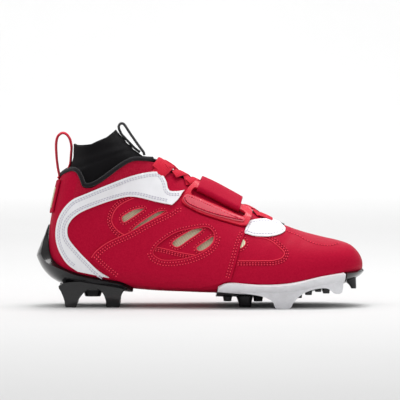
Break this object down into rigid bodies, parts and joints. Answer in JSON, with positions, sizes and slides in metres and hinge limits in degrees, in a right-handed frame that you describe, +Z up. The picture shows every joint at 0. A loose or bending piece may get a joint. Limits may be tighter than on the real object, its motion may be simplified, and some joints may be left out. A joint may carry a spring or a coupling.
{
  "type": "football_cleat",
  "caption": "Right American football cleat: red upper with white side band, black sock and heel plate, white forefoot rails with studs, forefoot strap through a side loop",
  "frame": {"origin": "on the floor, under the middle of the shoe's bounding box", "axes": "+X towards the toe, +Y towards the inner (big toe) side, +Z up; the studs' tips stand on z = 0"},
  "size_m": [0.2992, 0.1052, 0.1661],
  "materials": {
    "red_leather": "semi-gloss synthetic leather, fine grain",
    "red_plastic": "glossy moulded loop",
    "red_webbing": "woven webbing",
    "white_leather": "smooth white leather",
    "white_plastic": "glossy moulded plastic",
    "black_plastic": "glossy moulded plastic",
    "black_knit": "matt stretch knit",
    "beige_mesh": "woven metallic-looking mesh",
    "grey_foam": "matt foam with a textile cover"
  },
  "bodies": {
    "root": {"upper": "red_leather", "sock": "black_knit", "tongue": "black_knit", "insole": "grey_foam", "rear_plate": "black_plastic", "forefoot_plate": "black_plastic", "forefoot_rail_lateral": "white_plastic", "forefoot_rail_medial": "white_plastic", "collar_roll": "black_knit", "side_band_lateral": "white_leather", "side_band_medial": "white_leather", "wing_panel_lateral": "red_leather", "wing_panel_medial": "red_leather", "eyestay_lateral": "white_leather", "eyestay_medial": "white_leather", "vent_mesh_lateral": "beige_mesh", "vent_mesh_medial": "beige_mesh", "heel_tab": "red_leather", "strap_loop": "red_plastic", "strap_loop_pad": "red_leather", "strap": "red_leather", "laces": "red_webbing", "heel_pull": "red_webbing", "tongue_pull": "black_knit"}
  },
  "joints": []
}
